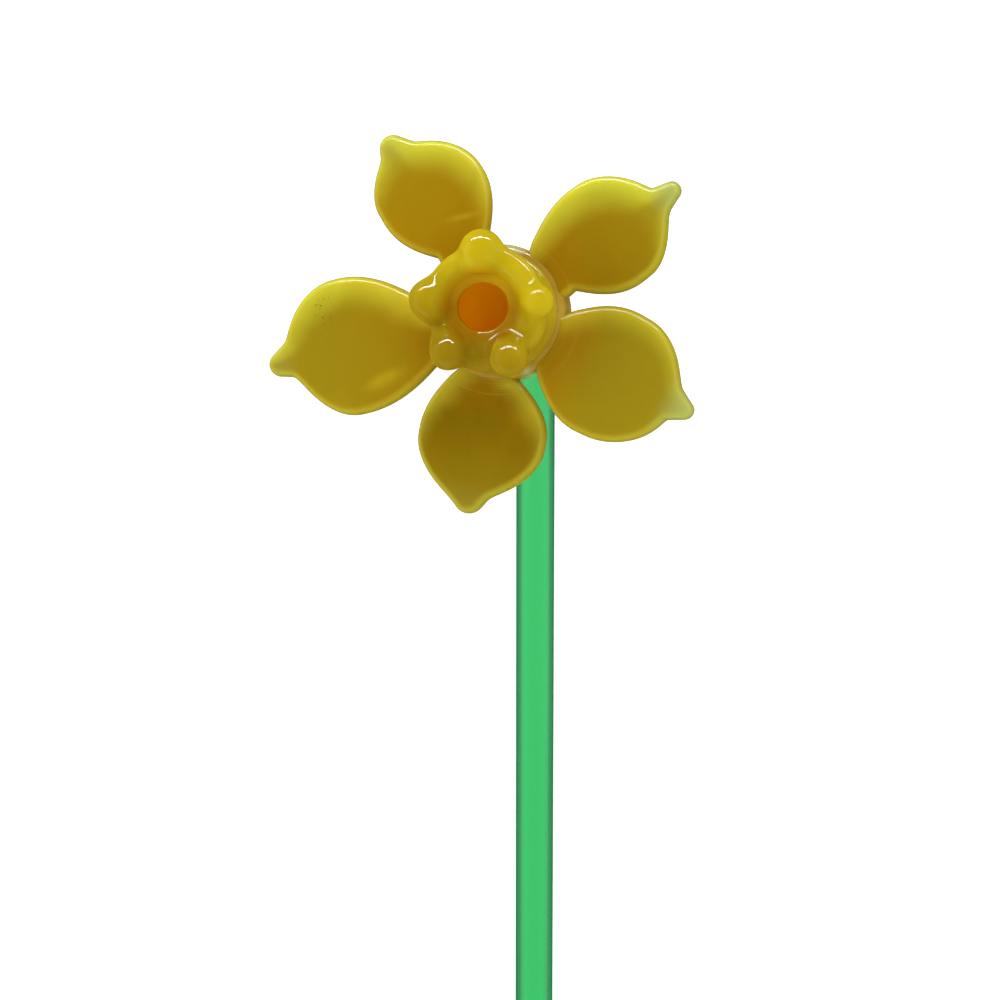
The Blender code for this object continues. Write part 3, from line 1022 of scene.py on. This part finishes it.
def cup_profile(sag):
    """The cup's section as (radius, height) points: wall, rolled lip, funnel, inner wall."""
    drop = sag * SAG_DEPTH
    turns = [(10.9 * MM, CUP_FOOT), (10.5 * MM, 3.6 * MM), (10.2 * MM, 6.0 * MM - drop * 0.3)]
    turns += [(10.35 * MM, 8.6 * MM - drop * 0.8)]
    turns += arc((LIP_CIRCLE, LIP_HEIGHT - drop), LIP_ROUND, -10, 100, 5)
    turns += [(8.0 * MM, 13.3 * MM - drop * 0.93), (7.2 * MM, 12.6 * MM - drop * 0.74)]
    turns += [(6.55 * MM, 11.6 * MM - drop * 0.45), (6.1 * MM, 10.6 * MM - drop * 0.14)]
    turns += [(RING_RADIUS, 10.1 * MM), (5.0 * MM, 9.85 * MM)]
    turns += [(BORE_RADIUS + 0.15 * MM, FUNNEL_FOOT), (BORE_RADIUS, FUNNEL_FOOT - BORE_DEEP)]
    points = smooth_path(turns, 5)
    points += [(CUP_INSIDE, FUNNEL_FOOT - 2 * BORE_DEEP), (CUP_INSIDE, CUP_FOOT)]
    return points


def sag_share(points):
    """How far the lip sags at each point, from 0 to 1."""
    azimuth = np.degrees(np.arctan2(points[:, 1], points[:, 0]))
    share = np.zeros(len(points))
    for centre, spread, depth in SAGS:
        off = (azimuth - centre + 180.0) % 360.0 - 180.0
        share = np.maximum(share, depth * np.exp(-((off / spread) ** 2)))
    return share


def outline_distance(radius, height, profile):
    """Signed distance to a closed outline in the profile plane, below zero inside it."""
    nearest = np.full(radius.shape, np.inf)
    inside = np.zeros(radius.shape, bool)
    for (r0, h0), (r1, h1) in zip(profile, profile[1:] + profile[:1]):
        dr, dh = r1 - r0, h1 - h0
        along = ((radius - r0) * dr + (height - h0) * dh) / (dr * dr + dh * dh)
        along = np.clip(along, 0.0, 1.0)
        gap = np.hypot(radius - r0 - along * dr, height - h0 - along * dh)
        nearest = np.minimum(nearest, gap)
        if h0 != h1:
            crosses = (h0 > height) != (h1 > height)
            inside ^= crosses & (radius < r0 + (height - h0) / dh * dr)
    return np.where(inside, -nearest, nearest)


def lobe_centre(lobe):
    """The middle of a lobe, in metres."""
    angle = math.radians(lobe.azimuth)
    out = (lobe.circle * math.cos(angle), lobe.circle * math.sin(angle), lobe.height)
    return np.array(out) * MM


def melted(first, second, width):
    """The union of two distances, with a fillet of about that width."""
    mix = np.clip(0.5 + 0.5 * (second - first) / width, 0.0, 1.0)
    return second * (1 - mix) + first * mix - width * mix * (1 - mix)


def trumpet_distance(points, full, sagging):
    """How far each point lies outside the melted skin of cup and lobes."""
    x, y, z = points.T
    share = sag_share(points)
    skin = outline_distance(np.hypot(x, y), z, full) * (1.0 - share)
    skin += outline_distance(np.hypot(x, y), z, sagging) * share - SKIN_SWELL
    for lobe in LOBES:
        offset = (points - lobe_centre(lobe)) / np.array((1.0, 1.0, LOBE_LONG))
        skin = melted(skin, np.linalg.norm(offset, axis=1) - lobe.radius * MM, lobe.melt * MM)
    return skin


def settle_on(points, distance, rounds=6, step=0.02 * MM):
    """Moves points along the distance's slope until they lie on its zero."""
    for _ in range(rounds):
        value = distance(points)
        slope = np.empty_like(points)
        for axis in range(3):
            shift = np.zeros(3)
            shift[axis] = step
            slope[:, axis] = (distance(points + shift) - distance(points - shift)) / (2 * step)
        size = np.maximum((slope**2).sum(1), 0.05)
        points = points - (value / size)[:, None] * slope
    return points


def trumpet_start(profile, voxel):
    """One even skin over the cup and its lobes, to be settled later."""
    bm = bmesh.new()
    cup = turned_mesh("cup", profile + profile[:1], 96)
    bm.from_mesh(cup)
    bpy.data.meshes.remove(cup)
    grow = Matrix.Diagonal((1.0, 1.0, LOBE_LONG, 1.0))
    for lobe in LOBES:
        place = Matrix.Translation(Vector(lobe_centre(lobe))) @ grow
        bmesh.ops.create_icosphere(bm, subdivisions=4, radius=lobe.radius * MM, matrix=place)
    mesh = bpy.data.meshes.new("trumpet_start")
    bm.to_mesh(mesh)
    bm.free()
    start = bpy.data.objects.new("trumpet_start", mesh)
    bpy.context.scene.collection.objects.link(start)
    remesh = start.modifiers.new("skin", "REMESH")
    remesh.mode = "VOXEL"
    remesh.voxel_size = voxel
    graph = bpy.context.evaluated_depsgraph_get()
    skin = bpy.data.meshes.new_from_object(start.evaluated_get(graph), depsgraph=graph)
    bpy.data.objects.remove(start)
    bpy.data.meshes.remove(mesh)
    return skin


class DAFFODIL_OT_trumpet(bpy.types.Operator):
    """Makes the lobed trumpet"""

    bl_idname = "daffodil.trumpet"
    bl_label = "Trumpet"

    def execute(self, context):
        settings = context.scene.daffodil_trumpet
        full, sagging = cup_profile(0.0), cup_profile(1.0)
        skin = trumpet_start(full, settings.voxel)
        points = points_of(skin)
        above = ramp(points[:, 2], *SAG_RISE)
        above *= ramp(np.hypot(points[:, 0], points[:, 1]), RING_RADIUS, 7.1 * MM)
        points[:, 2] -= SAG_DEPTH * sag_share(points) * above
        points = settle_on(points, lambda spots: trumpet_distance(spots, full, sagging))
        radius = np.hypot(points[:, 0], points[:, 1])
        funnel = ramp(radius, 7.3 * MM, RING_RADIUS)
        sagged = 0.12 * sag_share(points) * ramp(radius, 10.0 * MM, 8.0 * MM)
        funnel = np.maximum(funnel, sagged)
        # Painted shade: darker towards the lower and left side, away from the lights, and towards
        # the lower side inside the funnel
        deep = (6.0 * MM - points[:, 1] - 0.45 * points[:, 0]) / (15.0 * MM)
        funnel_painted_shade = (5.0 * MM - points[:, 1]) / (5.5 * MM)
        deep = np.clip(deep + funnel * (funnel_painted_shade - deep), 0, 1)
        aside = ramp(radius, 8.0 * MM, 5.0 * MM)
        for axis in range(2):
            points[:, axis] *= 1.0 + aside * (BORE_OVAL[axis] - 1.0)
            points[:, axis] += aside * BORE_ASIDE[axis]
        skin.vertices.foreach_set("co", points.astype(np.float32).ravel())
        store_floats(skin, "funnel", funnel)
        store_floats(skin, "deep", deep)
        store_floats(skin, "radius", radius)
        store_floats(skin, "height", points[:, 2])
        place_piece("trumpet_glass", skin, "trumpet", trumpet_glass(settings))
        return {"FINISHED"}


class DAFFODIL_OT_throat(bpy.types.Operator):
    """Makes the orange lining of the trumpet's bore"""

    bl_idname = "daffodil.throat"
    bl_label = "Throat"

    def execute(self, context):
        settings = context.scene.daffodil_throat
        bend = 3.4 * MM
        top = FUNNEL_FOOT - 0.45 * MM
        inner = BORE_RADIUS + 0.02 * MM
        wall = 0.7 * MM
        profile = [(0.0, settings.floor)]
        profile += arc((inner - bend, settings.floor + bend), bend, -90, 0, 14)
        profile += [(inner, top - 0.2 * MM)]
        profile += arc((inner + wall / 2, top - 0.2 * MM), wall / 2, 180, 0, 8)
        profile += [(inner + wall, settings.floor - wall), (0.0, settings.floor - wall)]
        mesh = turned_mesh("throat", profile, 96)
        points = points_of(mesh)
        # Painted shade: darker towards the lower right of the bore
        deep = 0.5 + (0.6 * points[:, 0] - 0.8 * points[:, 1]) / (2 * BORE_RADIUS)
        store_floats(mesh, "deep", np.clip(deep, 0, 1))
        mesh.transform(Matrix.Translation(BORE_ASIDE) @ Matrix.Diagonal((*BORE_OVAL, 1.0, 1.0)))
        place_piece("throat_lining", mesh, "throat", throat_glass(settings))
        return {"FINISHED"}


# Collar

COLLAR_TOP = 2.6 * MM       # height of its front face above the hub
COLLAR_BACK = 9.6 * MM      # depth of its back face below the hub
SHOULDER_BEND = 1.6 * MM
BELLY_BEND = 4.0 * MM
HEEL_BEND = 2.2 * MM
HEEL_CIRCLE = 5.4 * MM
THREADS_START = 9.0 * MM    # the wound threads lie between this radius and the shoulder
THREAD_HEIGHT = 0.06 * MM
THREAD_STEPS = 8
CLEAR_FROM = (29.0, 37.0)   # degrees from the nearest petal at which the glass turns clear


class DAFFODIL_OT_collar(bpy.types.Operator):
    """Makes the collar that holds the petals, the trumpet and the stem together"""

    bl_idname = "daffodil.collar"
    bl_label = "Collar"

    def execute(self, context):
        settings = context.scene.daffodil_collar
        profile = [(0.0, COLLAR_TOP), (THREADS_START, COLLAR_TOP)]
        shoulder = COLLAR_RADIUS - SHOULDER_BEND
        count = settings.threads * THREAD_STEPS
        for step in range(count + 1):
            along = step / count
            radius = THREADS_START + (shoulder - THREADS_START) * along
            wave = math.sin(along * settings.threads * math.tau)
            profile.append((radius, COLLAR_TOP + THREAD_HEIGHT * wave))
        profile += arc((shoulder, COLLAR_TOP - SHOULDER_BEND), SHOULDER_BEND, 88, 0, 8)
        profile += arc((COLLAR_RADIUS - BELLY_BEND, -COLLAR_TOP), BELLY_BEND, 0, -60, 10)
        profile += arc((HEEL_CIRCLE, HEEL_BEND - COLLAR_BACK), HEEL_BEND, -30, -90, 6)
        profile += [(0.0, -COLLAR_BACK)]
        mesh = turned_mesh("collar", profile, 160)
        points = points_of(mesh)
        azimuth = np.degrees(np.arctan2(points[:, 1], points[:, 0]))
        nearest = np.full(len(points), 180.0)
        for petal in PETALS.values():
            off = np.abs((azimuth - petal.azimuth + 180.0) % 360.0 - 180.0)
            nearest = np.minimum(nearest, off)
        outside = ramp(np.hypot(points[:, 0], points[:, 1]), 10.0 * MM, 11.0 * MM)
        store_floats(mesh, "clear", ramp(nearest, *CLEAR_FROM) * outside)
        place_piece("collar_glass", mesh, "collar", collar_glass(settings))
        return {"FINISHED"}


# Stem

STEM_STEPS = 40    # rings along the rod


class DAFFODIL_OT_stem(bpy.types.Operator):
    """Makes the clear green rod"""

    bl_idname = "daffodil.stem"
    bl_label = "Stem"

    def execute(self, context):
        settings = context.scene.daffodil_stem
        low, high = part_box("stem")
        radius = (high.z - low.z) / 2
        half = (high.y - low.y) / 2
        bend = settings.end_round
        profile = [(0.0, half)]
        profile += arc((radius - bend, half - bend), bend, 90, 0, 8)
        for step in range(1, STEM_STEPS):
            profile.append((radius, (half - bend) * (1 - 2 * step / STEM_STEPS)))
        profile += arc((radius - bend, bend - half), bend, 0, -90, 8)
        profile += [(0.0, -half)]
        mesh = turned_mesh("stem", profile, settings.sides)
        mesh.transform(
            Matrix.Translation((low + high) / 2) @ Matrix.Rotation(-math.pi / 2, 4, "X")
        )
        place_piece(
            "stem_rod", mesh, "stem", stem_glass(settings), in_head=False
        )
        return {"FINISHED"}


# Stage

VIEW_PITCH = math.radians(10.0)
HUB_ASIDE = 0.0005   # how far right of the view's middle the hub shows, in widths of the view
HUB_ABOVE = 0.1863   # how far above it
STRIP_DISTANCE = 0.6
STRIP_HEIGHT = 0.05
BROAD_DISTANCE = 1.1

# Low strips that draw thin lines on the polish: bearing from +X and elevation in degrees,
# length in metres, watts
STRIPS = {
    "back_strip": (92.0, 8.0, 1.0, 5.0),
}

# Broad lights that only light the colours: the same numbers, with the width for the length
BROADS = {
    "back_broad": (90.0, 40.0, 0.9, 7.5),
    "top_broad": (-60.0, 75.0, 1.2, 5.5),
    "left_broad": (180.0, 22.0, 0.8, 6.0),
    "right_broad": (0.0, 22.0, 0.8, 4.0),
    "front_broad": (-90.0, 22.0, 0.8, 4.5),
}

# The room's glow, by the height of the direction, from 0 level to 1 overhead
HORIZON = (-0.05, 0.0)
HAZE_END = 0.4
ROOM_DARK = 0.02


def soft_light(name, place, aim, size, power):
    """A rectangular light that faces the aim."""
    data = bpy.data.lights.new(name, "AREA")
    data.shape = "RECTANGLE"
    data.size, data.size_y = size
    data.energy = power
    light = bpy.data.objects.new(name, data)
    light.location = place
    light.rotation_euler = (Vector(aim) - Vector(place)).to_track_quat("-Z", "Y").to_euler()
    bpy.context.scene.collection.objects.link(light)
    return light


def dim_room(settings):
    """A room that is pale near the horizon and dark overhead."""
    world = bpy.data.worlds.new("room")
    world.use_nodes = True
    tree = world.node_tree
    background = tree.nodes["Background"]
    direction = Field(tree, add_node(tree, "ShaderNodeTexCoord").outputs["Generated"])
    height = direction.parts()[2]
    haze = height.step(*HORIZON) * (1.0 - height.step(0.0, HAZE_END))
    plug(tree, haze * settings.band + ROOM_DARK, background.inputs["Strength"])
    background.inputs["Color"].default_value = (1.0, 1.0, 1.0, 1.0)
    bpy.context.scene.world = world


def bearing_point(bearing, elevation, distance):
    """The place at that distance from the hub, angles in degrees."""
    bearing, elevation = math.radians(bearing), math.radians(elevation)
    return HUB + distance * Vector((
        math.cos(bearing) * math.cos(elevation), math.sin(bearing) * math.cos(elevation),
        math.sin(elevation),
    ))


def add_lights():
    """Sets the strips, which only show in the polish, and the broad lights, which never do."""
    for name, (bearing, elevation, span, power) in STRIPS.items():
        place = bearing_point(bearing, elevation, STRIP_DISTANCE)
        light = soft_light(name, place, HUB, (span, STRIP_HEIGHT), power)
        light.visible_diffuse = False
    for name, (bearing, elevation, span, power) in BROADS.items():
        place = bearing_point(bearing, elevation, BROAD_DISTANCE)
        light = soft_light(name, place, HUB, (span, span), power)
        light.visible_glossy = False


class DAFFODIL_OT_stage(bpy.types.Operator):
    """Makes the floor, the lights and the camera"""

    bl_idname = "daffodil.stage"
    bl_label = "Stage"

    def execute(self, context):
        settings = context.scene.daffodil_stage
        bpy.ops.mesh.primitive_plane_add(size=settings.floor_size)
        floor = context.object
        floor.name = "floor"
        material, _, shader, _ = new_material("white_table")
        shader.inputs["Base Color"].default_value = (*[settings.floor_shade] * 3, 1.0)
        shader.inputs["Roughness"].default_value = 0.9
        shader.inputs["Specular IOR Level"].default_value = 0.0
        shader.inputs["Emission Color"].default_value = (1.0, 1.0, 1.0, 1.0)
        shader.inputs["Emission Strength"].default_value = settings.floor_glow
        floor.data.materials.append(material)
        floor.visible_glossy = False
        dim_room(settings)
        add_lights()
        self.add_camera(settings)
        context.scene.view_settings.view_transform = "Standard"
        return {"FINISHED"}

    def add_camera(self, settings):
        """Looks down on the flower, a little from beyond its head."""
        data = bpy.data.cameras.new("camera")
        data.lens = settings.lens
        data.clip_start = 0.01
        camera = bpy.data.objects.new("camera", data)
        back = Vector((0.0, math.sin(VIEW_PITCH), math.cos(VIEW_PITCH)))
        up = Vector((0.0, math.cos(VIEW_PITCH), -math.sin(VIEW_PITCH)))
        right = Vector((1.0, 0.0, 0.0))
        view_width = data.sensor_width / data.lens * settings.camera_distance
        camera.location = (
            HUB + back * settings.camera_distance
            - right * view_width * HUB_ASIDE - up * view_width * HUB_ABOVE
        )
        camera.rotation_euler = Matrix((right, up, back)).transposed().to_euler()
        bpy.context.scene.collection.objects.link(camera)
        bpy.context.scene.camera = camera


# The add-on


class DAFFODIL_PT_panel(bpy.types.Panel):
    """Lists the pieces of the daffodil"""

    bl_label = "Glass daffodil"
    bl_idname = "DAFFODIL_PT_panel"
    bl_space_type = "VIEW_3D"
    bl_region_type = "UI"
    bl_category = "Daffodil"

    def draw(self, context):
        for operator in OPERATORS:
            self.layout.operator(operator.bl_idname)
        for label in SETTINGS:
            box = self.layout.box()
            group = getattr(context.scene, label)
            for key in group.bl_rna.properties.keys():
                if key not in ("rna_type", "name"):
                    box.prop(group, key)


SETTINGS = {
    "daffodil_petals": PetalSettings,
    "daffodil_trumpet": TrumpetSettings,
    "daffodil_throat": ThroatSettings,
    "daffodil_collar": CollarSettings,
    "daffodil_stem": StemSettings,
    "daffodil_stage": StageSettings,
}

OPERATORS = (
    DAFFODIL_OT_petals,
    DAFFODIL_OT_trumpet,
    DAFFODIL_OT_throat,
    DAFFODIL_OT_collar,
    DAFFODIL_OT_stem,
    DAFFODIL_OT_stage,
)


def register():
    """Makes the settings and the operators known."""
    for group in (*SETTINGS.values(), *OPERATORS, DAFFODIL_PT_panel):
        bpy.utils.register_class(group)
    for label, group in SETTINGS.items():
        setattr(bpy.types.Scene, label, PointerProperty(type=group))


def unregister():
    """Takes them away again."""
    for label in SETTINGS:
        delattr(bpy.types.Scene, label)
    for group in (DAFFODIL_PT_panel, *OPERATORS, *SETTINGS.values()):
        bpy.utils.unregister_class(group)


def main():
    """Makes every piece."""
    register()
    bpy.ops.daffodil.petals()
    bpy.ops.daffodil.trumpet()
    bpy.ops.daffodil.throat()
    bpy.ops.daffodil.collar()
    bpy.ops.daffodil.stem()
    bpy.ops.daffodil.stage()


if __name__ == "__main__":
    main()
